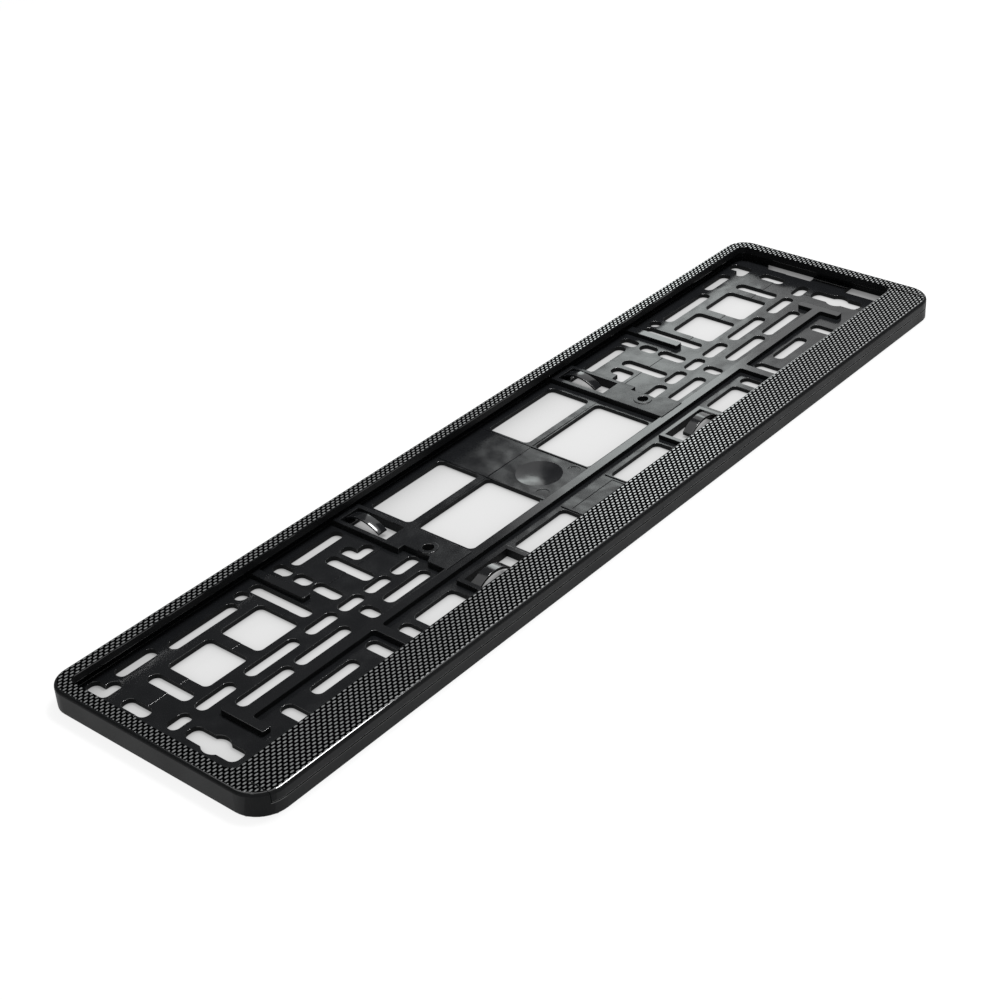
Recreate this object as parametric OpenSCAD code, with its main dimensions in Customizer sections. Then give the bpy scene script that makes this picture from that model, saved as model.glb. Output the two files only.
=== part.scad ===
// Number plate holder for a long 520 by 110 mm plate, lying on its back.
// +X runs along the holder to the right as seen from the front, +Y goes to the
// top rim and +Z comes out of the front. The origin is under the middle of it.
// The base is one moulding: a pierced floor with ribs, spring tongues and a
// hollow rim on the left, the top and the right. The bottom strip is a second
// moulding that snaps on over the lower edge after the plate has been put in.

/* [Overall] */
// length over the two side rims
holder_l = 532; // [500:0.5:560]
// width over the strip and the top rim
holder_w = 133.2; // [120:0.1:145]
// depth from the back to the front face
holder_h = 11.66; // [9:0.1:16]
// radius of the two upper corners of the outline
corner_r = 12; // [6:0.5:16]
// radius of the two lower corners
low_corner_r = 15; // [6:0.5:20]
// thickness of the pierced floor
floor_t = 2.2; // [1.5:0.1:4]
// thickness of the outer wall
wall_t = 1.8; // [1.2:0.1:3]
// thickness of the front face of rim and strip
face_t = 1.7; // [1.2:0.1:3]
// radius of the outer front edge of the rim
rim_edge_r = 1.7; // [0.5:0.1:3]
// radius of the outer front edge of the strip
strip_edge_r = 1.7; // [0.5:0.1:3]

/* [Plate pocket] */
// width of the side rims' face
rim_w = 8; // [6:0.1:14]
// height of the opening's upper edge
open_top = 58.9; // [50:0.1:64]
// radius of the opening's corners
open_r = 3.6; // [1:0.1:8]
// thickness of the skirt round the opening
skirt_t = 1.6; // [1:0.1:3]
// height of the skirt's lower edge, which holds the plate down
skirt_z = 7.5; // [6:0.1:9]
// start of the low step at the foot of the top wall
step_y = 61.8; // [58:0.1:64]
// height of that step above the floor
step_h = 0.5; // [0.2:0.1:2]

/* [Bottom strip] */
// upper edge of the strip's face
strip_top = -42.7; // [-55:0.1:-30]
// height of the seam on the lower wall
seam_z = 6.35; // [3:0.05:9]
// height and depth of the shadow groove under the seam
seam_groove = [0.45, 0.7]; // each 0.1 to 1.2
// gap between the strip's end and the side rim, with the strip centred
strip_gap = 0.65; // [0.2:0.05:1.5]
// how far the strip has been pushed along, minus is to the left
strip_shift = -0.4; // [-0.6:0.05:0.6]
// radius of the fillet that leads the strip's edge up the side rim
strip_ear_r = 4.3; // [1:0.1:8]
// thickness of the locating lip behind the lower wall
lip_t = 1.2; // [0.8:0.1:2]
// depth of the locating lip below the seam
lip_h = 1.5; // [0.5:0.1:3]
// clearance between the locating lip and the wall
lip_gap = 0.2; // [0.1:0.05:0.5]

/* [Snap latches] */
// places of the latches along the strip, mirrored
latch_x = [40, 130, 215]; // each 20 to 240
// width of a strip hook
hook_w = 8; // [4:0.5:16]
// width of a catch on the floor
catch_w = 10; // [4:0.5:20]
// thickness of hook and catch
latch_t = 1.4; // [1:0.1:2.5]
// front face of the catch
catch_y = -57; // [-60:0.1:-50]
// height of the catch's top
catch_z = 7.2; // [5:0.1:9]
// how far each nose reaches out
nose = 0.9; // [0.4:0.1:1.5]
// height of a nose
nose_h = 1.2; // [0.8:0.1:2]
// play between hook and catch, both ways
latch_gap = 0.3; // [0.1:0.05:0.6]

/* [Floor openings] */
// floor left between the outermost corner slot and the holder's end
end_clear = 15; // [12:0.1:24]
// width of the narrow slots
slot_w = 7; // [4:0.1:10]
// corner radius of the narrow slots
slot_r = 3.1; // [1:0.1:3.5]
// corner radius of the windows
window_r = 3; // [1:0.1:6]
// lower edge of the long slot row
row_a = 4.2; // [0:0.1:8]
// ends of the slots in the long row, mirrored
row_a_x = [[91.3, 107.7], [110.8, 126], [129, 143.3], [146.4, 165], [170.8, 202.4],
    [209.8, 231.4], [235.8, 248]]; // each 18 to 252
// lower edge of the short slot row
row_b = -8.1; // [-12:0.1:-4]
// ends of the slots in the short row, mirrored
row_b_x = [[97, 126.2], [150.5, 183.6], [186.6, 219.2]]; // each 18 to 252
// inner edge of the column of short slots
col_x = 132.6; // [120:0.1:140]
// ends of the slots in that column, mirrored
col_y = [[-9.8, 1.1], [14.5, 31.4], [33.2, 44], [46.3, 57.5]]; // each -12 to 60
// other level slots as left end, right end and lower edge, mirrored
level_slots = [[97, 130, 48.4], [168.5, 209, 46.5], [213.7, 236.4, 50.8],
    [166.6, 194.2, -28.4]]; // each within the floor
// other upright slots as inner edge, lower end and upper end, mirrored
upright_slots = [[113, 13, 41.4], [150.5, 16.3, 54.5], [224.5, 15.3, 41.7],
    [242.9, 21.8, 37.7]]; // each within the floor
// slots that run on under the strip as inner edge and upper end, mirrored
foot_slots = [[132.5, -22.8], [150.7, -19.8], [205, -21.1]]; // each above the strip
// hidden lower end of the openings under the strip
foot_y = -47; // [-56:0.5:-44]
// square windows as inner and outer edge, mirrored
square_x = [[161.7, 187.6], [193.4, 219.1]]; // each 150 to 225
// lower and upper edge of the square windows
square_y = [15.3, 41.2]; // each 0 to 60
// lower window of the middle as inner and outer edge
mid_low_x = [18.1, 71.7]; // each 10 to 75
// lower and upper edge of that window
mid_low_y = [-9.9, 25.2]; // each -12 to 28
// upper window of the middle as inner and outer edge
mid_up_x = [18.9, 71.7]; // each 10 to 75
// lower and upper edge of that window
mid_up_y = [30, 56.4]; // each 26 to 60
// windows that run on under the strip as inner, outer and upper edge
foot_windows = [[18.7, 57.5, -23], [101.6, 128.6, -22.9]]; // each above the strip
// corner slot near the rim as inner, elbow and outer edge
ell_out_x = [239, 244, 251]; // each 230 to 256
// corner slot near the rim as lower edge, elbow and upper end
ell_out_y = [45.8, 52.9, 59.6]; // each 40 to 62
// corner slot near the middle as inner, elbow and outer edge
ell_in_x = [96.5, 103, 110]; // each 90 to 112
// corner slot near the middle as lower edge, elbow and upper end
ell_in_y = [28.2, 35.3, 41.4]; // each 20 to 45
// centre of the round hole in the floor
hole_at = [162.3, 53.1]; // each within the floor
// diameter of that hole
hole_d = 7; // [4:0.1:10]
// keyhole slot as inner and outer edge
key_x = [238.7, 247.7]; // each 230 to 252
// keyhole slot as lower and upper end
key_y = [-31.5, 0]; // each -40 to 4
// diameter of the round middle of the keyhole slot
key_d = 13; // [9:0.5:18]
// height of that round middle
key_mid = -16.5; // [-30:0.1:0]

/* [Openings under the side rims] */
// long opening as inner and outer edge, from the holder's end
side_in = [9.8, 1.2]; // each 3 to 16
// long opening as lower and upper end
side_y = [10, 43.6]; // each 0 to 60
// slant cut off the upper inner corner of the long opening
side_slant = 4.2; // [0:0.1:8]
// lower opening as inner and outer edge, from the holder's end
side_low_in = [11.2, 1.2]; // each 3 to 16
// lower opening as lower and upper end
side_low_y = [-40, -13]; // each -45 to 0
// width of the thin slot along the wall
thin_w = 2.8; // [1:0.1:4]
// thin slot as lower and upper end
thin_y = [11, 61.5]; // each 0 to 62
// inner edge of the ledge between the openings, from the holder's end
ledge_in = 6.6; // [3:0.1:12]
// height of that ledge above the floor
ledge_h = 0.5; // [0.2:0.1:2]

/* [Ribs] */
// height of the ribs' top
rib_z = 4.7; // [3:0.1:7]
// radius of the free rib ends
rib_end_r = 1.2; // [0.2:0.1:2]
// radius where ribs meet
rib_fillet = 1.6; // [0.5:0.1:4]
// long rib as lower and upper edge
long_rib_y = [-17.6, -12.6]; // each -30 to 0
// cross head at each end of the long rib as inner and outer edge
head_x = [222.9, 227.8]; // each 210 to 235
// cross head as lower and upper end
head_y = [-29, -2.6]; // each -35 to 5
// branch rib that runs down from the long rib
branch_x = [142.7, 147.7]; // each 135 to 155
// upper rib that runs down from the top wall
upper_rib_x = [144, 149]; // each 135 to 150
// lower end of the upper rib
upper_rib_y = 25.3; // [15:0.1:40]

/* [Screw blocks] */
// height of the screw block's top
block_z = 5.1; // [3:0.1:7]
// block as inner and outer edge
block_x = [76, 94]; // each 70 to 100
// depth of the notch in the outer edge
notch_d = 3.8; // [0:0.1:6]
// notch as lower and upper end
notch_y = [-1.5, 16.5]; // each -12 to 26
// slanted lower end of the notch
notch_cut = 1.8; // [0:0.1:4]
// centre of the screw hole
screw_at = [85.3, 5.3]; // each within the block
// diameter of the screw hole
screw_d = 5.8; // [4:0.1:8]
// diameter of the collar round the screw hole
collar_d = 9.8; // [7:0.1:14]
// height of the collar above the block
collar_h = 0.35; // [0.1:0.05:1]

/* [Upper springs] */
// opening in the block as inner and outer edge
spring_hole_x = [78.6, 91.5]; // each 76 to 94
// opening in the block as lower and upper end
spring_hole_y = [26.8, 57]; // each 20 to 60
// upper end of the opening in the floor, where the tongue is rooted
root_y = 53.6; // [48:0.1:58]
// centre line of the spring tongue
tongue_x = 85.3; // [80:0.1:90]
// width of the spring tongues
tongue_w = 5.6; // [3:0.1:9]
// thickness of the spring tongues
tongue_t = 1.3; // [0.8:0.1:2.5]
// height of the tongues' crown
crown_z = 7.35; // [5.5:0.05:9]
// place of the crown along the upper spring
crown_y = 47.5; // [35:0.1:55]
// outer bend radius of the upper spring's crown
upper_bend = 7.8; // [5:0.1:12]
// fall of the upper spring from the crown towards its tip, in degrees
upper_fall = 18; // [8:1:30]
// place of the turned-down tip
tip_y = 34.4; // [28:0.1:44]
// lower end of the tip
tip_z = 1.6; // [0.2:0.1:3]

/* [Lower springs] */
// frame round the lower spring as inner and outer edge
box_x = [61.2, 97.1]; // each 55 to 105
// upper edge of that frame
box_top = -22.2; // [-30:0.1:-19]
// height of the frame's top
box_z = 4.4; // [3:0.1:7]
// wall of the frame
box_wall = 2.6; // [1.5:0.1:4]
// centre line of the lower spring
low_tongue_y = -32; // [-38:0.1:-26]
// place of the crown along the lower spring
low_crown_x = 84.5; // [72:0.1:92]
// outer bend radius of the lower spring
lower_bend = 18; // [12:0.5:50]
// free end of the lower spring
low_tip_x = 72.6; // [64:0.1:78]

/* [Steps of the floor] */
// line above which the floor is a little thicker
upper_y = 26.3; // [20:0.1:29]
// height of that step and of the end pads
level_h = 0.2; // [0.1:0.05:0.6]
// inner edge of the pads at both ends
end_pad_x = 239.8; // [230:0.1:250]
// upper edge of those pads
end_pad_y = 12.6; // [5:0.1:20]
// inner edge of the thin lips beside the middle panel
bead_x = 17.3; // [14:0.1:18]
// height of those lips
bead_h = 0.45; // [0.1:0.05:1]

/* [Middle panel] */
// centre height of the round dish
dish_y = 7; // [0:0.1:14]
// radius of the dish at its rim
dish_r = 12; // [8:0.1:16]
// depth of the dish
dish_d = 1.75; // [0.5:0.05:2]
// centres of the two round mould marks
mark_at = [[-13, -5.6], [12.6, -5.2]]; // each on the pad
// diameter of the mould marks
mark_d = 6.6; // [4:0.1:9]
// depth of the mould marks and of the lower panel
mark_h = 0.25; // [0.1:0.05:0.6]
// half width of the sunk panel under the long rib
panel_x = 16; // [10:0.1:17]
// upper edge of the sunk panel
panel_top = -26.6; // [-30:0.1:-22]

/* [Quality] */
// segments on a full circle
$fn = 64; // [16:4:128]

/* [Hidden] */
// half sizes of the outline
hl = holder_l/2;
hw = holder_w/2;
// inner face of the outer wall
in_x = hl - wall_t;
in_y = hw - wall_t;
// half length of the opening
ox = hl - rim_w;
// stretch of all places along the floor, which keeps the clearance at the ends
k = (hl - end_clear)/ell_out_x[2];
// openings under the side rim as inner and outer edge
side_x = [hl - side_in[0], hl - side_in[1]];
side_low_x = [hl - side_low_in[0], hl - side_low_in[1]];
// underside of the front face
under_z = holder_h - face_t;
// half length of the strip
sx = ox - strip_gap;
// face of the strip hook towards the catch
hook_y = catch_y - nose - latch_gap;
// lower face of the catch's nose
catch_nose_z = catch_z - nose_h;
// small overlap that joins solids of one moulding
e = 0.02;

// the same shape on the right and on the left
module both() {
    children();
    mirror([1, 0, 0]) children();
}

// flat rectangle with round corners from its four edges
module rr(x0, x1, y0, y1, r) {
    translate([x0 + r, y0]) square([x1 - x0 - 2*r, y1 - y0]);
    translate([x0, y0 + r]) square([x1 - x0, y1 - y0 - 2*r]);
    for (x = [x0 + r, x1 - r], y = [y0 + r, y1 - r]) translate([x, y]) circle(r);
}

// flat rectangle with sharp corners from its four edges
module bar(x0, x1, y0, y1) {
    translate([x0, y0]) square([x1 - x0, y1 - y0]);
}

// fillet that fills the inner corner at x, y towards dx, dy
module inner_fillet(x, y, dx, dy, r) {
    translate([x, y]) scale([dx, dy]) difference() {
        translate([-e, -e]) square(r + e);
        translate([r, r]) circle(r);
    }
}

// outline of the holder, drawn in by an inset
module outline(inset = 0) {
    x = hl - inset;
    y = hw - inset;
    up = corner_r - inset;
    low = low_corner_r - inset;
    translate([-x + low, -y]) square([2*(x - low), y]);
    translate([-x + up, 0]) square([2*(x - up), y]);
    translate([-x, -y + low]) square([2*x, 2*y - low - up]);
    for (s = [-1, 1]) {
        translate([s*(x - up), y - up]) circle(up);
        translate([s*(x - low), -y + low]) circle(low);
    }
}

// cross-section of a rounded front edge of width w, outward along +X
module edge_section(r, w) {
    square([w, holder_h - r]);
    square([w - r, holder_h]);
    translate([w - r, holder_h - r]) circle(r);
}

// full block of the outline with its front edge rounded
module crowned(r) {
    up = corner_r;
    low = low_corner_r;
    ly = holder_w - up - low;
    translate([-hl + low, -hw + low, 0]) cube([2*(hl - low), ly, holder_h]);
    translate([-hl + up, hw - up, 0]) rotate([90, 0, 90])
        linear_extrude(2*(hl - up)) edge_section(r, up);
    translate([hl - low, -hw + low, 0]) rotate([90, 0, -90])
        linear_extrude(2*(hl - low)) edge_section(r, low);
    both() {
        translate([hl - low, hw - up, 0]) rotate([90, 0, 0])
            linear_extrude(ly) edge_section(r, low);
        translate([hl - up, hw - up, 0]) rotate_extrude(angle = 90) edge_section(r, up);
        translate([hl - low, -hw + low, 0]) rotate([0, 0, -90])
            rotate_extrude(angle = 90) edge_section(r, low);
    }
}

// plan of the front opening, open towards the strip
module opening_plan(grow = 0) {
    r = open_r + grow;
    rr(-ox - grow, ox + grow, 0, open_top + grow, r);
    translate([-ox - grow, -hw - 1]) square([2*(ox + grow), hw + 1 + r + 5]);
}

// hollow rim with its skirt, above the floor
module rim() {
    difference() {
        crowned(rim_edge_r);
        // hollow between floor and face
        translate([0, 0, floor_t]) linear_extrude(under_z - floor_t) outline(wall_t);
        // front opening
        translate([0, 0, floor_t]) linear_extrude(holder_h) intersection() {
            opening_plan();
            outline(wall_t);
        }
        // lower wall down to the seam, with a shadow groove under it
        translate([-ox, -hw - 1, seam_z]) cube([2*ox, wall_t + 5, holder_h]);
        translate([0, 0, seam_z - seam_groove[0]])
            linear_extrude(seam_groove[0] + e) intersection() {
                difference() {
                    outline(-1);
                    outline(seam_groove[1]);
                }
                translate([-ox, -hw - 1]) square([2*ox, wall_t + 5]);
            }
    }
    translate([0, 0, skirt_z]) linear_extrude(under_z - skirt_z + e) intersection() {
        difference() {
            opening_plan(skirt_t);
            opening_plan();
        }
        outline(wall_t - e);
    }
    // low step at the foot of the top wall
    translate([-in_x + corner_r, step_y, floor_t - e])
        cube([2*(in_x - corner_r), in_y - step_y + e, step_h + e]);
}

// corner slot of two bars that meet in an elbow
module ell(xs, ys) {
    rr(xs[1], xs[2], ys[0], ys[2], slot_r);
    rr(xs[0], xs[2], ys[0], ys[1], slot_r);
}

// every opening of the right half of the floor
module floor_holes() {
    for (s = row_a_x) rr(k*s[0], k*s[1], row_a, row_a + slot_w, slot_r);
    for (s = row_b_x) rr(k*s[0], k*s[1], row_b, row_b + slot_w, slot_r);
    for (s = col_y) rr(k*col_x, k*col_x + slot_w, s[0], s[1], slot_r);
    for (s = level_slots) rr(k*s[0], k*s[1], s[2], s[2] + slot_w, slot_r);
    for (s = upright_slots) rr(k*s[0], k*s[0] + slot_w, s[1], s[2], slot_r);
    for (s = foot_slots) rr(k*s[0], k*s[0] + slot_w, foot_y, s[1], slot_r);
    for (s = square_x) rr(k*s[0], k*s[1], square_y[0], square_y[1], window_r);
    for (s = foot_windows) rr(k*s[0], k*s[1], foot_y, s[2], window_r);
    rr(k*mid_low_x[0], k*mid_low_x[1], mid_low_y[0], mid_low_y[1], window_r);
    rr(k*mid_up_x[0], k*mid_up_x[1], mid_up_y[0], mid_up_y[1], window_r);
    ell(k*ell_out_x, ell_out_y);
    ell(k*ell_in_x, ell_in_y);
    translate([k*hole_at[0], hole_at[1]]) circle(d = hole_d);
    rr(k*key_x[0], k*key_x[1], key_y[0], key_y[1], 3.6);
    translate([k*(key_x[0] + key_x[1])/2, key_mid]) circle(d = key_d);
    // under the side rim, a little into the foot of the wall
    polygon([[side_x[0], side_y[0]], [side_x[1], side_y[0]], [side_x[1], side_y[1]],
        [side_x[0], side_y[1] - side_slant]]);
    bar(side_low_x[0], side_low_x[1], side_low_y[0], side_low_y[1]);
    intersection() {
        bar(side_x[1] - thin_w, side_x[1], thin_y[0], thin_y[1]);
        outline(side_in[1]);
    }
}

// plan of the ribs of the right half
module rib_plan() {
    bar(0, k*head_x[0] + 1, long_rib_y[0], long_rib_y[1]);
    rr(k*head_x[0], k*head_x[1], head_y[0], head_y[1], rib_end_r);
    bar(k*branch_x[0], k*branch_x[1], -in_y - e, long_rib_y[0] + 1);
    rr(k*upper_rib_x[0], k*upper_rib_x[1], upper_rib_y, in_y - 4, rib_end_r);
    bar(k*upper_rib_x[0], k*upper_rib_x[1], in_y - 8, in_y + e);
    inner_fillet(k*head_x[0], long_rib_y[0], -1, -1, rib_fillet);
    inner_fillet(k*branch_x[0], long_rib_y[0], -1, -1, rib_fillet);
    inner_fillet(k*branch_x[1], long_rib_y[0], 1, -1, rib_fillet);
}

// plan of the screw block and of the frame round the upper spring
module block_plan() {
    difference() {
        bar(k*block_x[0], k*block_x[1], long_rib_y[1] - 1, in_y + e);
        far = k*block_x[1];
        cut_x = far - notch_d;
        polygon([[cut_x, notch_y[0] + notch_cut], [far + 1, notch_y[0] - 1],
            [far + 1, notch_y[1]], [cut_x, notch_y[1]]]);
    }
}

// side view of one face of the upper spring: a round crown that falls to the tip
module upper_face(r, run) {
    circle(r);
    rotate(upper_fall) translate([-run, -run]) square([run, run + r - 0.01]);
}

// side view of the upper spring tongue, height up and +Y to the right
module upper_tongue_section() {
    zc = crown_z - upper_bend;
    run = 2*upper_bend;
    difference() {
        translate([crown_y, zc]) upper_face(upper_bend, run);
        translate([crown_y, zc]) upper_face(upper_bend - tongue_t, run + 1);
        translate([crown_y - 2*run, zc - 2*run])
            square([4*run, 2*run + floor_t - 1 - zc]);
        translate([tip_y - 2*run, zc - run]) square([2*run, 3*run]);
    }
    tip_top = zc + (upper_bend - (crown_y - tip_y)*sin(upper_fall))/cos(upper_fall);
    translate([tip_y, tip_z]) square([tongue_t, tip_top - tongue_t/2 - tip_z]);
}

// side view of the lower spring tongue, height up and +X to the right
module lower_tongue_section() {
    zc = crown_z - lower_bend;
    difference() {
        translate([k*low_crown_x, zc]) circle(lower_bend, $fn = 192);
        translate([k*low_crown_x, zc]) circle(lower_bend - tongue_t, $fn = 192);
        translate([k*low_tip_x - 4*lower_bend, zc - 2*lower_bend])
            square([4*lower_bend, 4*lower_bend]);
        translate([k*low_crown_x - 2*lower_bend, zc - 2*lower_bend])
            square([4*lower_bend, 2*lower_bend - zc + 0.3]);
        translate([k*box_x[1] - 0.6, zc - 1]) square(2*lower_bend);
    }
}

// one catch that stands on the floor behind the lower wall
module catch() {
    translate([-catch_w/2, 0, 0]) rotate([90, 0, 90]) linear_extrude(catch_w)
        polygon([[catch_y, floor_t - e], [catch_y + latch_t, floor_t - e],
            [catch_y + latch_t, catch_z], [catch_y, catch_z],
            [catch_y - nose, catch_nose_z + 0.3], [catch_y - nose, catch_nose_z],
            [catch_y, catch_nose_z]]);
}

// one hook that hangs from the strip and grips under a catch
module hook() {
    top = catch_nose_z - latch_gap/1.5;
    translate([-hook_w/2, 0, 0]) rotate([90, 0, 90]) linear_extrude(hook_w)
        polygon([[hook_y - latch_t, under_z + e], [hook_y - latch_t, top - nose_h],
            [hook_y, top - nose_h], [hook_y + nose, top - 0.3], [hook_y + nose, top],
            [hook_y, top], [hook_y, under_z + e]]);
}

// base moulding
module base() {
    color([0.07, 0.07, 0.075]) difference() {
        union() {
            rim();
            translate([0, 0, floor_t - e]) linear_extrude(rib_z - floor_t + e) {
                both() rib_plan();
            }
            both() {
                difference() {
                    translate([0, 0, floor_t - e]) linear_extrude(block_z - floor_t + e)
                        block_plan();
                    translate([0, 0, floor_t]) linear_extrude(holder_h)
                        bar(k*spring_hole_x[0], k*spring_hole_x[1],
                            spring_hole_y[0], spring_hole_y[1]);
                }
                translate([k*screw_at[0], screw_at[1], block_z - e])
                    cylinder(d = collar_d, h = collar_h + e);
                // frame round the lower spring
                translate([k*box_x[0], foot_y, floor_t - e])
                    cube([k*(box_x[1] - box_x[0]), box_top - foot_y, box_z - floor_t + e]);
                for (x = latch_x) translate([k*x, 0, 0]) catch();
            }
            // thicker floor above the step line, pads at both ends
            translate([0, 0, floor_t - e]) linear_extrude(level_h + e) {
                bar(-in_x + corner_r, in_x - corner_r, upper_y, in_y + e);
                for (s = [-1, 1]) scale([s, 1]) {
                    bar(in_x - corner_r - 1, in_x + e, upper_y, hw - corner_r);
                    bar(k*end_pad_x, side_low_x[0] - 1, side_low_y[0], end_pad_y);
                }
            }
            // ledge between the openings under the side rims
            translate([0, 0, floor_t - e]) linear_extrude(ledge_h + e) both()
                bar(hl - ledge_in, in_x + e, side_low_y[1], side_y[0]);
            // thin lips beside the middle panel
            translate([0, 0, floor_t - e]) linear_extrude(bead_h + e) both() {
                bar(k*bead_x, k*mid_low_x[0], long_rib_y[1] - 1, open_top);
                bar(k*bead_x, k*mid_low_x[0], foot_y, box_top + 1.2);
            }
        }
        // openings of the floor
        translate([0, 0, -1]) linear_extrude(floor_t + level_h + 1.01)
            both() floor_holes();
        both() {
            translate([k*screw_at[0], screw_at[1], -1]) cylinder(d = screw_d, h = holder_h);
            // under the upper spring
            translate([k*spring_hole_x[0], spring_hole_y[0], -1])
                cube([k*(spring_hole_x[1] - spring_hole_x[0]),
                    root_y - spring_hole_y[0], floor_t + 1.5]);
            // inside the lower spring's frame
            translate([k*box_x[0] + box_wall, foot_y + box_wall, -1])
                cube([k*(box_x[1] - box_x[0]) - 2*box_wall,
                    box_top - foot_y - 2*box_wall, holder_h]);
        }
        // dish, mould marks and the sunk panel
        dish_ball = (dish_r*dish_r + dish_d*dish_d)/(2*dish_d);
        translate([0, dish_y, floor_t - dish_d + dish_ball]) sphere(dish_ball, $fn = 192);
        for (m = mark_at) translate([k*m[0], m[1], floor_t - mark_h])
            cylinder(d = mark_d, h = 1);
        translate([-k*panel_x, foot_y - 1, floor_t - mark_h])
            cube([2*k*panel_x, panel_top - foot_y + 1, 1]);
    }
    // spring tongues, moulded in one piece with the base
    color([0.07, 0.07, 0.075]) both() {
        translate([k*tongue_x - tongue_w/2, 0, 0]) rotate([90, 0, 90])
            linear_extrude(tongue_w) upper_tongue_section();
        translate([0, low_tongue_y + tongue_w/2, 0]) rotate([90, 0, 0])
            linear_extrude(tongue_w) lower_tongue_section();
    }
}

// bottom strip
module strip() {
    color([0.09, 0.09, 0.095]) translate([strip_shift, 0, 0]) {
        difference() {
            intersection() {
                crowned(strip_edge_r);
                translate([0, 0, seam_z]) linear_extrude(holder_h) {
                    translate([-sx, -hw - 1]) square([2*sx, hw + 1 + strip_top]);
                    for (s = [-1, 1])
                        inner_fillet(s*sx, strip_top, -s, 1, strip_ear_r);
                }
            }
            // hollow underside
            translate([0, 0, seam_z - 1]) linear_extrude(under_z - seam_z + 1)
                intersection() {
                    outline(wall_t);
                    translate([-sx - 1, -hw]) square([2*sx + 2, hw + strip_top - skirt_t]);
                }
            translate([-sx - 1, strip_top - skirt_t - 1, seam_z - 1])
                cube([2*sx + 2, strip_ear_r + skirt_t + 2, skirt_z - seam_z + 1]);
        }
        // locating lip behind the lower wall
        translate([-sx + 8, -in_y + lip_gap, seam_z - lip_h])
            cube([2*sx - 16, lip_t, under_z - seam_z + lip_h + e]);
        // foot that joins the locating lip to the outer lip
        translate([-sx + 8, -in_y - e, seam_z + 0.6])
            cube([2*sx - 16, lip_gap + 2*e, under_z - seam_z - 0.6 + e]);
    }
    color([0.09, 0.09, 0.095]) both() for (x = latch_x) translate([k*x, 0, 0]) hook();
}

base();
strip();
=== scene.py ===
"""Number plate holder: a black base moulding with a hollow rim, and a clipped-on strip.

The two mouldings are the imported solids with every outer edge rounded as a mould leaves
it, and the two upper springs are made anew with their true arch. The main finishes are
polished plastic inside, satin walls outside and a carbon foil on the front faces.
"""
import math

import bmesh
import bpy
import numpy as np
from mathutils import Matrix, Vector


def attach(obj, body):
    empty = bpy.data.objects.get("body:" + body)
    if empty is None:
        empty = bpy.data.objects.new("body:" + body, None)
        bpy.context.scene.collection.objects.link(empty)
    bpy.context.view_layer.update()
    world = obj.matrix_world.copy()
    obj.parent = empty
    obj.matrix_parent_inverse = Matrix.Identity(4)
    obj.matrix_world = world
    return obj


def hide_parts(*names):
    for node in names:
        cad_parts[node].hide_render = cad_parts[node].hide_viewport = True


MM = 0.001
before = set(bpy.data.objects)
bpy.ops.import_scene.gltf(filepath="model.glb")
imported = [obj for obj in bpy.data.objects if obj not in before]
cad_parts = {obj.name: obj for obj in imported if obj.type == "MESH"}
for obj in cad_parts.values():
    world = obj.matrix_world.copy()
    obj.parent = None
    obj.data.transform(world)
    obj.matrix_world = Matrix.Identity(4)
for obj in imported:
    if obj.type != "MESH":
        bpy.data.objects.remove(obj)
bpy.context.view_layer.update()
scene = bpy.context.scene
scene.view_settings.view_transform = "Standard"

# values of the object, in millimetres
HALF_L, HALF_W, FRONT_Z = 266.0, 66.6, 11.66  # half outline, and the front face
ROUND_FOOT = 9.9  # height at which the outer rounding of the rim starts
BLOCK_LOW, BLOCK_HIGH = 5.0, 5.6  # heights between which the tops of the blocks lie
FLOOR_HIGH = 3.0  # height that the floor and its marks stay below
GAP_X, STRIP_END_X = 258.0, 257.35  # side rim's face at the strip, and the strip's end
FACE_ROUND = 0.7  # rounding of the front face's inner edges
EDGE_ROUND = 0.28  # rounding of ribs, blocks, skirts and outer back edge
PLATE_ROUND = 0.16  # rounding of the openings in the floor
STRIP_TOP, EAR_R = -42.7, 4.3  # upper edge of the strip and radius of its ears
SPRING_X, SPRING_W, SPRING_T = 85.3, 5.6, 1.0  # middle, width, thickness of a spring
SPRING_TIP, SPRING_CROWN, SPRING_ROOT = 34.6, 47.8, 57.3  # its places along Y
CROWN_Z, TIP_BEND, ROOT_BEND = 7.3, 19.0, 13.5  # top, and bend radii either side of it
MERGE = 1e-6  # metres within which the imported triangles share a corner
FLAT_ANGLE = math.radians(0.3)  # faces this close to one plane become one face
SHARP_ANGLE = math.radians(50)  # edges this sharp are rounded, or else stay a crease


# small helpers
def colour(code):
    """sRGB hex code as linear red, green, blue and alpha."""
    srgb = np.array([int(code[i:i + 2], 16) for i in (1, 3, 5)]) / 255
    linear = np.where(srgb <= 0.04045, srgb / 12.92, ((srgb + 0.055) / 1.055) ** 2.4)
    return (*linear.tolist(), 1.0)


def add(tree, kind, inputs=None, **settings):
    """Adds a node; each input is given as a value or as the socket to link to it."""
    node = tree.nodes.new(kind)
    for name, value in settings.items():
        setattr(node, name, value)
    for key, value in (inputs or {}).items():
        if isinstance(value, bpy.types.NodeSocket):
            tree.links.new(value, node.inputs[key])
        else:
            node.inputs[key].default_value = value
    return node


def new_material(name):
    """An empty node material and its output node."""
    made = bpy.data.materials.new(name)
    made.use_nodes = True
    made.node_tree.nodes.clear()
    return made, made.node_tree, add(made.node_tree, "ShaderNodeOutputMaterial")


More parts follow.
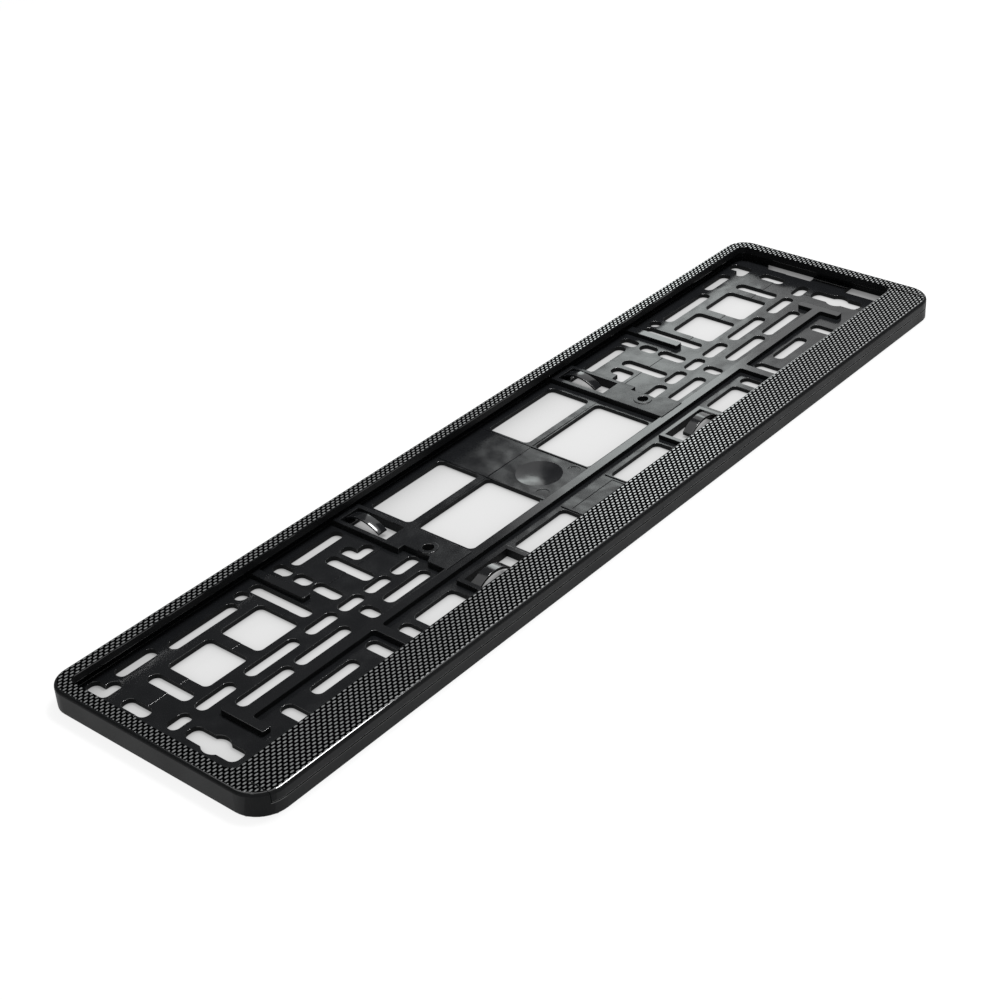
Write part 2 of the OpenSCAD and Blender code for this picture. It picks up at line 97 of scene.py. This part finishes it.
# materials
def black_gloss(name, level, rough_range, sink_mm, sink_depth):
    """Glossy black ABS: flow and sink marks bend the mirror, and dust dulls it unevenly.

    The marks are sink_mm across and sink_depth deep, in millimetres.
    """
    made, tree, out = new_material(name)
    place = add(tree, "ShaderNodeTexCoord").outputs["Object"]
    sink = add(tree, "ShaderNodeTexNoise", {"Vector": place, "Scale": 1 / (sink_mm * MM),
                                            "Detail": 1.5, "Roughness": 0.4})
    haze = add(tree, "ShaderNodeTexNoise",
               {"Vector": place, "Scale": 1 / (9 * MM), "Detail": 3.0})
    rough = add(tree, "ShaderNodeMapRange",
                {"Value": haze.outputs["Fac"], "From Min": 0.3, "From Max": 0.7,
                 "To Min": rough_range[0], "To Max": rough_range[1]})
    bump = add(tree, "ShaderNodeBump", {"Height": sink.outputs["Fac"], "Strength": 1.0,
                                        "Distance": sink_depth * MM})
    shader = add(tree, "ShaderNodeBsdfPrincipled",
                 {"Base Color": colour("#1d1e20"), "IOR": 1.53, "Specular IOR Level": level,
                  "Roughness": rough.outputs["Result"], "Normal": bump.outputs["Normal"]})
    tree.links.new(shader.outputs["BSDF"], out.inputs["Surface"])
    return made


def polished_plastic():
    """Black ABS from a polished mould: tops of ribs and collars, spring tongues.

    To the eye it is near black with a wet-looking gloss.
    """
    return black_gloss("polished_black_abs", 0.6, (0.09, 0.15), 15, 0.05)


def floor_plastic():
    """Black ABS of the large floor, which shrank over its ribs and holds fine dust.

    To the eye it is a softer, blotchy gloss: the sink marks are some 12 mm across.
    """
    return black_gloss("sunk_black_abs", 0.36, (0.12, 0.26), 12, 0.34)


def block_plastic():
    """Black ABS of the thick screw blocks, duller than the floor and sunk in likewise.

    To the eye the blocks' tops are about as bright as the floor round them.
    """
    return black_gloss("dull_black_abs", 0.27, (0.18, 0.30), 12, 0.34)


def edge_gloss():
    """Clear lacquer run over the foil's edge, on every rounded edge.

    To the eye it is black, with a thin light line where it mirrors the lamp above.
    """
    return black_gloss("lacquered_black_edge", 1.0, (0.07, 0.10), 15, 0.01)


def satin_plastic():
    """Black ABS from a spark-eroded mould, on the outer walls and the back.

    To the eye it is an even, soft charcoal. The real grain is about 0.05 mm; here it is
    drawn 0.35 mm across, because a finer one would not show in the picture.
    """
    made, tree, out = new_material("satin_black_abs")
    place = add(tree, "ShaderNodeTexCoord").outputs["Object"]
    grain = add(tree, "ShaderNodeTexNoise",
                {"Vector": place, "Scale": 1 / (0.35 * MM), "Detail": 2.0})
    wipe = add(tree, "ShaderNodeTexNoise",
               {"Vector": place, "Scale": 1 / (22 * MM), "Detail": 2.0})
    rough = add(tree, "ShaderNodeMapRange",
                {"Value": wipe.outputs["Fac"], "From Min": 0.3, "From Max": 0.7,
                 "To Min": 0.40, "To Max": 0.50})
    bump = add(tree, "ShaderNodeBump",
               {"Height": grain.outputs["Fac"], "Strength": 0.6, "Distance": 0.02 * MM})
    shader = add(tree, "ShaderNodeBsdfPrincipled",
                 {"Base Color": colour("#1a1b1c"), "IOR": 1.5, "Specular IOR Level": 0.14,
                  "Roughness": rough.outputs["Result"], "Normal": bump.outputs["Normal"]})
    tree.links.new(shader.outputs["BSDF"], out.inputs["Surface"])
    return made


def painted_shade_wall_plastic():
    """Black ABS of the shut-off faces: walls of the openings, of ribs and blocks.

    To the eye it is a flat, very dark grey. It is rough, as the mould's faces there are
    blasted and drag over the plastic on opening, and its colour is drawn darker than the
    same plastic elsewhere: painted shade down in the openings, also used on the lower part
    of the outer rounding. Fine draw lines, 0.5 mm apart, run up the walls.
    """
    made, tree, out = new_material("blasted_black_abs_painted_shade")
    place = add(tree, "ShaderNodeTexCoord").outputs["Object"]
    squeezed = add(tree, "ShaderNodeMapping", {"Vector": place, "Scale": (1, 1, 0.1)})
    lines = add(tree, "ShaderNodeTexNoise", {"Vector": squeezed.outputs["Vector"],
                                             "Scale": 1 / (0.5 * MM), "Detail": 1.0})
    rough = add(tree, "ShaderNodeMapRange",
                {"Value": lines.outputs["Fac"], "From Min": 0.3, "From Max": 0.7,
                 "To Min": 0.5, "To Max": 0.62})
    bump = add(tree, "ShaderNodeBump",
               {"Height": lines.outputs["Fac"], "Strength": 0.5, "Distance": 0.01 * MM})
    # colour drawn darker than the satin and gloss plastic: painted shade of these walls
    shader = add(tree, "ShaderNodeBsdfPrincipled",
                 {"Base Color": colour("#121314"), "IOR": 1.5, "Specular IOR Level": 0.12,
                  "Roughness": rough.outputs["Result"], "Normal": bump.outputs["Normal"]})
    tree.links.new(shader.outputs["BSDF"], out.inputs["Surface"])
    return made


def carbon_foil():
    """Hot-stamped foil over black ABS, printed as a carbon weave, on the front faces.

    To the eye it is rows of short silver-grey dashes on black, and the silver flares up
    where it faces the light. Each second row is moved on by half a repeat, as the weft of
    a weave shows.
    """
    pitch, row = 3.25, 1.73  # repeat of the dashes along X and of the rows along Y, in mm
    dash_l, dash_w = 2.1, 0.95  # length and width of a dash
    made, tree, out = new_material("carbon_print_foil")
    place = add(tree, "ShaderNodeTexCoord").outputs["Object"]
    axes = add(tree, "ShaderNodeSeparateXYZ", {0: place}).outputs

    def calc(operation, a, b=0.0):
        return add(tree, "ShaderNodeMath", {0: a, 1: b}, operation=operation).outputs[0]

    across = calc("DIVIDE", axes["Y"], row * MM)
    odd = calc("MULTIPLY", calc("MODULO", calc("ADD", calc("FLOOR", across), 1000.0), 2.0),
               0.5)
    along = calc("ADD", calc("DIVIDE", axes["X"], pitch * MM), odd)
    from_mid_x = calc("SUBTRACT", calc("FRACT", along), 0.5)
    from_mid_y = calc("SUBTRACT", calc("FRACT", across), 0.5)
    part_x = calc("POWER", calc("MULTIPLY", from_mid_x, 2 * pitch / dash_l), 2.0)
    part_y = calc("POWER", calc("MULTIPLY", from_mid_y, 2 * row / dash_w), 2.0)
    ink = add(tree, "ShaderNodeMapRange",
              {"Value": calc("ADD", part_x, part_y), "From Min": 1.3, "From Max": 0.3,
               "To Min": 0.0, "To Max": 1.0}, interpolation_type="SMOOTHSTEP")
    spread = add(tree, "ShaderNodeTexNoise",
                 {"Vector": place, "Scale": 1 / (1.6 * MM), "Detail": 1.0})
    strength = add(tree, "ShaderNodeMapRange",
                   {"Value": spread.outputs["Fac"], "From Min": 0.3, "From Max": 0.7,
                    "To Min": 0.8, "To Max": 1.0})
    cover = calc("MULTIPLY", ink.outputs["Result"], strength.outputs["Result"])
    tint = add(tree, "ShaderNodeMix",
               {0: cover, 6: colour("#060607"), 7: colour("#c4c6c6")}, data_type="RGBA")
    silver = calc("MULTIPLY", cover, 0.55)
    bump = add(tree, "ShaderNodeBump",
               {"Height": ink.outputs["Result"], "Strength": 0.35, "Distance": 0.02 * MM})
    shader = add(tree, "ShaderNodeBsdfPrincipled",
                 {"Base Color": tint.outputs[2], "Metallic": silver, "IOR": 1.5,
                  "Roughness": 0.2, "Specular IOR Level": 0.0,
                  "Normal": bump.outputs["Normal"]})
    tree.links.new(shader.outputs["BSDF"], out.inputs["Surface"])
    return made


FINISHES = [polished_plastic(), satin_plastic(), carbon_foil(), painted_shade_wall_plastic(),
            floor_plastic(), block_plastic(), edge_gloss()]
POLISHED, SATIN, PRINTED, PAINTED_SHADE_WALL, SUNK, BLOCK, EDGE = range(7)
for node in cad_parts.values():
    node.data.materials.clear()
    node.data.materials.append(FINISHES[SATIN])


# the two mouldings and the upper springs
def face_values(mesh):
    """Normal and centre of every face, the centre in millimetres."""
    count = len(mesh.polygons)
    normal, centre = np.zeros(count * 3), np.zeros(count * 3)
    mesh.polygons.foreach_get("normal", normal)
    mesh.polygons.foreach_get("center", centre)
    return normal.reshape(-1, 3), centre.reshape(-1, 3) / MM


def face_heights(mesh):
    """Height of every face: the greatest less the smallest Z of its corners, in mm."""
    start = np.zeros(len(mesh.polygons), int)
    mesh.polygons.foreach_get("loop_start", start)
    corner = np.zeros(len(mesh.loops), int)
    mesh.loops.foreach_get("vertex_index", corner)
    place = np.zeros(len(mesh.vertices) * 3)
    mesh.vertices.foreach_get("co", place)
    z = place[2::3][corner] / MM
    return np.maximum.reduceat(z, start) - np.minimum.reduceat(z, start)


def faces_beside_edges(mesh):
    """The two faces beside every edge, found by sorting the loops by their edge."""
    edge = np.zeros(len(mesh.loops), int)
    mesh.loops.foreach_get("edge_index", edge)
    total = np.zeros(len(mesh.polygons), int)
    mesh.polygons.foreach_get("loop_total", total)
    face = np.repeat(np.arange(len(mesh.polygons)), total)
    return face[np.argsort(edge, kind="stable")].reshape(-1, 2)


def ear_width(y):
    """Width of the strip's ear at a height: radius less the arc's half chord there."""
    up = np.clip(y - STRIP_TOP, 0, EAR_R)
    return EAR_R - np.sqrt(EAR_R ** 2 - (EAR_R - up) ** 2)


def roundings(mesh):
    """Rounding of every edge in mm, and whether it stays a crease.

    An edge is an outer one where the second face's centre lies behind the first face.
    Its rounding is the mould's own for that place, and on a level edge less than half of
    the wall's height beside it.
    """
    normal, centre = face_values(mesh)
    faces = faces_beside_edges(mesh)
    n1, n2 = normal[faces[:, 0]], normal[faces[:, 1]]
    outer = np.einsum("ij,ij->i", n1, centre[faces[:, 1]] - centre[faces[:, 0]]) < 0
    angle = np.arccos(np.clip(np.einsum("ij,ij->i", n1, n2), -1, 1))
    ends = np.zeros(len(mesh.edges) * 2, int)
    mesh.edges.foreach_get("vertices", ends)
    place = np.zeros(len(mesh.vertices) * 3)
    mesh.vertices.foreach_get("co", place)
    ends = place.reshape(-1, 3)[ends.reshape(-1, 2)] / MM
    low, high, middle = ends.min(1), ends.max(1), ends.mean(1)
    level = high[:, 2] - low[:, 2] < 0.01
    upright = (high[:, :2] - low[:, :2]).max(1) < 0.01
    width = np.full(len(faces), EDGE_ROUND)
    width[(level | upright) & (high[:, 2] < 2.75)] = PLATE_ROUND
    # the front face's inner edges, which stay sharp on their way down beside the strip
    at_gap = (np.abs(np.abs(middle[:, 0]) - GAP_X) < 0.1) & (middle[:, 1] < -60)
    width[level & (low[:, 2] > FRONT_Z - 0.02)] = FACE_ROUND
    width[at_gap & ~level] = 0
    # the strip's own ends stay sharp, and its ears have less room towards the tip
    on_ear = (middle[:, 1] > STRIP_TOP + 0.02) & (np.abs(middle[:, 0]) < GAP_X - 0.2)
    on_ear &= (np.abs(middle[:, 0]) > 252) & (middle[:, 1] < -38) & (low[:, 2] > 7)
    width[on_ear] = np.minimum(width, 0.35 * ear_width(middle[:, 1]))[on_ear]
    strip_end = np.abs(np.abs(middle[:, 0]) - STRIP_END_X) < 0.45
    strip_end &= middle[:, 1] < -38.3
    width[strip_end & (low[:, 2] > 6)] = 0
    # a low wall takes a small rounding
    wall = np.abs(normal[:, 2]) < 0.5
    height = np.where(wall, face_heights(mesh), 1e3)[faces].min(1)
    width = np.where(level, np.minimum(width, 0.42 * height), width)
    outside = (np.abs(middle[:, 0]) > HALF_L - 11) | (np.abs(middle[:, 1]) > HALF_W - 0.5)
    width[(high[:, 2] < 0.05) & ~outside] = 0
    width[~outer | (angle < SHARP_ANGLE) | (width < 0.03)] = 0
    return width, (width == 0) & (angle > SHARP_ANGLE)


def finish_of_faces(mesh):
    """Foil on the front face, polish on what else looks up, satin outside and behind.

    The upright walls inside the outline, and the lower facets of the outer rounding, take
    the darker wall finish, whose colour is painted shade; the floor and the screw blocks
    have their own.
    """
    normal, centre = face_values(mesh)
    up, z = normal[:, 2], centre[:, 2]
    finish = np.full(len(normal), SATIN)
    inside = (np.abs(centre[:, 0]) < HALF_L - 1) & (np.abs(centre[:, 1]) < HALF_W - 1)
    # upright walls inside the outline: darker colour as painted shade
    finish[inside & (np.abs(up) < 0.3)] = PAINTED_SHADE_WALL
    looks_up = up > 0.2
    finish[looks_up] = POLISHED
    finish[looks_up & (z < FLOOR_HIGH)] = SUNK
    finish[looks_up & (z > BLOCK_LOW) & (z < BLOCK_HIGH)] = BLOCK
    # lower facets of the outer rounding drawn darker as painted shade; the top facet glossy
    on_rounding = (z > ROUND_FOOT) & (z < FRONT_Z - 0.02)
    finish[on_rounding & (up > 0.05)] = PAINTED_SHADE_WALL
    finish[on_rounding & (up > 0.9)] = EDGE
    on_tongue = (centre[:, 1] < -30) & (np.abs(np.abs(centre[:, 0]) - 85) < 13)
    on_tongue &= (np.abs(normal[:, 1]) < 0.999) & (np.abs(up) > 0.02) & (z > 2)
    finish[on_tongue] = POLISHED
    finish[(z > FRONT_Z - 0.05) & (up > 0.99)] = PRINTED
    return finish


def take_off_springs(form):
    """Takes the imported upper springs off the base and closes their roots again.

    Their faces are those with all corners in the springs' own boxes.
    """
    half = SPRING_W / 2 + 0.01
    low = np.array((SPRING_X - half, SPRING_TIP - 0.3, 1.5))
    high = np.array((SPRING_X + half, SPRING_ROOT - 2.5, 7.4))

    def on_spring(face):
        corners = np.array([corner.co for corner in face.verts]) / MM
        corners[:, 0] = np.abs(corners[:, 0])
        return bool(((corners > low) & (corners < high)).all())

    bmesh.ops.delete(form, geom=[face for face in form.faces if on_spring(face)],
                     context="FACES")
    bmesh.ops.holes_fill(form, edges=[edge for edge in form.edges if edge.is_boundary])


def moulding(node_name, name):
    """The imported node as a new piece: corners merged, flat faces joined, edges rounded."""
    form = bmesh.new()
    form.from_mesh(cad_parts[node_name].data)
    bmesh.ops.remove_doubles(form, verts=form.verts, dist=MERGE)
    bmesh.ops.dissolve_limit(form, angle_limit=FLAT_ANGLE, verts=form.verts,
                             edges=form.edges)
    if node_name == "base":
        take_off_springs(form)
    mesh = bpy.data.meshes.new(name)
    form.to_mesh(mesh)
    form.free()
    widths, creases = roundings(mesh)
    weight = mesh.attributes.new("bevel_weight_edge", "FLOAT", "EDGE")
    weight.data.foreach_set("value", widths / FACE_ROUND)
    crease = mesh.attributes.new("sharp_edge", "BOOLEAN", "EDGE")
    crease.data.foreach_set("value", creases)
    for finish in FINISHES:
        mesh.materials.append(finish)
    mesh.polygons.foreach_set("material_index", finish_of_faces(mesh))
    piece = bpy.data.objects.new(name, mesh)
    scene.collection.objects.link(piece)
    rounding = piece.modifiers.new("rounded edges", "BEVEL")
    rounding.limit_method = "WEIGHT"
    rounding.width = FACE_ROUND * MM
    rounding.segments = 3
    rounding.material = EDGE
    rounding.use_clamp_overlap = False
    rounding.harden_normals = True
    rounding.miter_outer = "MITER_SHARP"
    shading = piece.modifiers.new("large faces stay flat", "WEIGHTED_NORMAL")
    shading.weight = 100
    shading.keep_sharp = True
    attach(piece, "root")
    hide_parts(node_name)


def upper_spring(name, side):
    """Arched spring tongue: a flat bar with round edges carried along its arch.

    The arch is z = crown - (y - y_crown)**2 / (2 * bend), with one bend radius towards the
    tip and a tighter one towards the root, which sits in the block's wall. The bar's
    section is a rounded rectangle of the spring's width and thickness, square to the arch.
    """
    stations, corner_r, steps = 41, 0.22, 4
    y = np.linspace(SPRING_ROOT, SPRING_TIP, stations)
    from_crown = y - SPRING_CROWN
    bend = np.where(from_crown < 0, TIP_BEND, ROOT_BEND)
    slope = -from_crown / bend
    top = np.stack((np.zeros(stations), y, CROWN_Z - from_crown ** 2 / (2 * bend)), 1)
    up = np.stack((np.zeros(stations), -slope, np.ones(stations)), 1)
    up /= np.linalg.norm(up, axis=1)[:, None]
    quarters = [np.linspace(start, start + 90, steps) for start in (0, 90, 180, 270)]
    turn = np.radians(np.concatenate(quarters))
    side_sign = np.repeat((1, -1, -1, 1), steps)
    level_sign = np.repeat((1, 1, -1, -1), steps)
    across = side_sign * (SPRING_W / 2 - corner_r) + corner_r * np.cos(turn)
    level = level_sign * (SPRING_T / 2 - corner_r) + corner_r * np.sin(turn) - SPRING_T / 2
    ring = len(turn)
    points = top[:, None] + up[:, None] * level[None, :, None]
    points[:, :, 0] = side * SPRING_X + across[None, :]
    row_start = np.arange(stations - 1)[:, None] * ring
    first = (row_start + np.arange(ring)).ravel()
    after = (row_start + (np.arange(ring) + 1) % ring).ravel()
    quads = np.stack((first, after, after + ring, first + ring), 1)
    ends = [list(range(ring)), list(range((stations - 1) * ring, stations * ring))]
    mesh = bpy.data.meshes.new(name)
    mesh.from_pydata((points.reshape(-1, 3) * MM).tolist(), [], quads.tolist() + ends)
    form = bmesh.new()
    form.from_mesh(mesh)
    bmesh.ops.recalc_face_normals(form, faces=form.faces)
    form.to_mesh(mesh)
    form.free()
    mesh.materials.append(FINISHES[POLISHED])
    piece = bpy.data.objects.new(name, mesh)
    scene.collection.objects.link(piece)
    mesh.shade_smooth()
    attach(piece, "root")


moulding("base", "base_moulding")
upper_spring("upper_spring_right", 1)
upper_spring("upper_spring_left", -1)
moulding("strip", "cover_strip")


# studio
def seen_directly(tree):
    """1 for camera, glossy and transmission rays, which see the white background."""
    path = add(tree, "ShaderNodeLightPath").outputs
    both = add(tree, "ShaderNodeMath",
               {0: path["Is Camera Ray"], 1: path["Is Glossy Ray"]}, operation="ADD")
    return add(tree, "ShaderNodeMath",
               {0: both.outputs[0], 1: path["Is Transmission Ray"]},
               operation="ADD", use_clamp=True).outputs[0]


def sheet_of(name, corners, material):
    """A flat stage piece from its corners in metres."""
    mesh = bpy.data.meshes.new(name)
    mesh.from_pydata(corners, [], [range(len(corners))])
    mesh.materials.append(material)
    made = bpy.data.objects.new(name, mesh)
    scene.collection.objects.link(made)
    return made


world = bpy.data.worlds.new("studio")
scene.world = world
world.use_nodes = True
sky = world.node_tree
sky.nodes.clear()
light_share = add(sky, "ShaderNodeBackground", {"Color": colour("#ffffff"), "Strength": 0.25})
white_share = add(sky, "ShaderNodeBackground", {"Color": colour("#ffffff"), "Strength": 1.0})
blend = add(sky, "ShaderNodeMixShader", {0: seen_directly(sky), 1: light_share.outputs[0],
                                         2: white_share.outputs[0]})
sky.links.new(blend.outputs[0], add(sky, "ShaderNodeOutputWorld").inputs["Surface"])


def pale_sheet(name, own, closed, albedo):
    """Sheet that glows a little by itself, so that it shows white, and keeps the shadow.

    It adds own + closed * (share of open sky within 30 mm) to a plain diffuse white; that
    share of the glow is painted shade, darker near and under the object.
    """
    made, tree, out = new_material(name)
    # open-sky share that dims the glow near and under the object: painted shade
    sky_share = add(tree, "ShaderNodeAmbientOcclusion", {"Distance": 30 * MM}, samples=16)
    part = add(tree, "ShaderNodeMath", {0: sky_share.outputs["AO"], 1: closed},
               operation="MULTIPLY")
    total = add(tree, "ShaderNodeMath", {0: part.outputs[0], 1: own}, operation="ADD")
    glow = add(tree, "ShaderNodeEmission", {"Color": colour("#ffffff"),
                                            "Strength": total.outputs[0]})
    lit = add(tree, "ShaderNodeBsdfDiffuse", {"Color": colour(albedo)})
    plain = add(tree, "ShaderNodeBsdfDiffuse", {"Color": colour("#e4e4e4")})
    shown = add(tree, "ShaderNodeAddShader", {0: glow.outputs[0], 1: lit.outputs[0]})
    mixed = add(tree, "ShaderNodeMixShader", {0: seen_directly(tree), 1: plain.outputs[0],
                                              2: shown.outputs[0]})
    tree.links.new(mixed.outputs[0], out.inputs["Surface"])
    return made


def level_sheet(name, half_x, half_y, cut, z, material):
    """Level sheet with its four corners cut off at 45 degrees."""
    x, y = half_x, half_y
    corners = [(x, y - cut), (x - cut, y), (cut - x, y), (-x, y - cut),
               (-x, cut - y), (cut - x, -y), (x - cut, -y), (x, cut - y)]
    sheet_of(name, [(*corner, z) for corner in corners], material)


# pale table, and under the holder a greyer glowing sheet, hidden by its outline, that
# only shows through the openings: painted shade of the table seen through them
level_sheet("table_top", 4, 4, 0.5, -0.0002,
            pale_sheet("white_table", 0.80, 0.12, "#7c7c7c"))
level_sheet("painted_shade_sheet", 0.2652, 0.0658, 0.009, -0.0001,
            pale_sheet("painted_shade_glow", 0.08, 0.62, "#666666"))


def lamp(name, place, target, width, height, radiance, tint="#ffffff"):
    """A soft rectangular lamp of a given radiance: power is radiance times pi times area."""
    data = bpy.data.lights.new(name, "AREA")
    data.shape = "RECTANGLE"
    data.size, data.size_y = width, height
    data.energy = radiance * math.pi * width * height
    data.color = colour(tint)[:3]
    made = bpy.data.objects.new(name, data)
    made.location = place
    made.rotation_mode = "QUATERNION"
    aim = Vector(target) - Vector(place)
    made.rotation_quaternion = aim.to_track_quat("-Z", "Y")
    scene.collection.objects.link(made)


EYE = Vector((-629.975, -529.951, 513.073)) * MM  # the camera's place, fitted to the photo


def beyond(azimuth, distance, height):
    """The place that far from the camera in plan, at an azimuth from +X in degrees."""
    a = math.radians(azimuth)
    return (EYE.x + distance * math.cos(a), EYE.y + distance * math.sin(a), height)


lamp("overhead_softbox", (0.267, 0.0, 0.90), (0.267, 0.0, 0.0), 0.22, 0.40, 25.5)

# tall pale panel behind on the right, which the glossy floor mirrors on its right half
PANEL_FAR = 2.6
PANEL_LOW, PANEL_HIGH = 0.35, 1.13
panel_mid = (PANEL_LOW + PANEL_HIGH) / 2
left_foot = Vector(beyond(39.9, PANEL_FAR, 0))
right_foot = Vector(beyond(33.7, PANEL_FAR, 0))
lamp("far_panel", (left_foot + right_foot) / 2 + Vector((0, 0, panel_mid)),
     (EYE.x, EYE.y, panel_mid), (left_foot - right_foot).length,
     PANEL_HIGH - PANEL_LOW, 2.3, "#f6fffd")


def dark_card(name, azimuths, distance, heights, glow):
    """Upright dark card round the object that glossy faces mirror; the camera skips it."""
    made, tree, out = new_material(name)
    shade = add(tree, "ShaderNodeEmission", {"Color": colour("#ffffff"), "Strength": glow})
    tree.links.new(shade.outputs[0], out.inputs["Surface"])
    (first, last), (low, high) = azimuths, heights
    card = sheet_of(name, [beyond(first, distance, low), beyond(last, distance, low),
                           beyond(last, distance, high), beyond(first, distance, high)],
                    made)
    card.visible_camera = False


# behind and on the left, mirrored by the left half of the floor and by the rims, and in
# front on the right, mirrored by the rounded outer edge
dark_card("back_card", (41.4, 75.0), 2.2, (0.15, 1.9), 0.10)
dark_card("left_card", (75.0, 140.0), 2.2, (0.02, 1.9), 0.05)
dark_card("front_card", (15.0, -48.0), 2.6, (0.02, 2.6), 0.05)


# camera at the photograph's angle
RIGHT = Vector((0.63888912, -0.767196, -0.05684187))
DOWN = Vector((-0.44308946, -0.30657069, -0.84242871))
FORWARD = Vector((0.62888188, 0.56340457, -0.53580114))
view = bpy.data.cameras.new("camera")
view.sensor_width = 36.0
view.lens = 69.978
view.clip_start, view.clip_end = 0.02, 50.0
camera = bpy.data.objects.new("camera", view)
turn = Matrix((RIGHT, -DOWN, -FORWARD)).transposed()
camera.matrix_world = Matrix.Translation(EYE) @ turn.to_4x4()
scene.collection.objects.link(camera)
scene.camera = camera
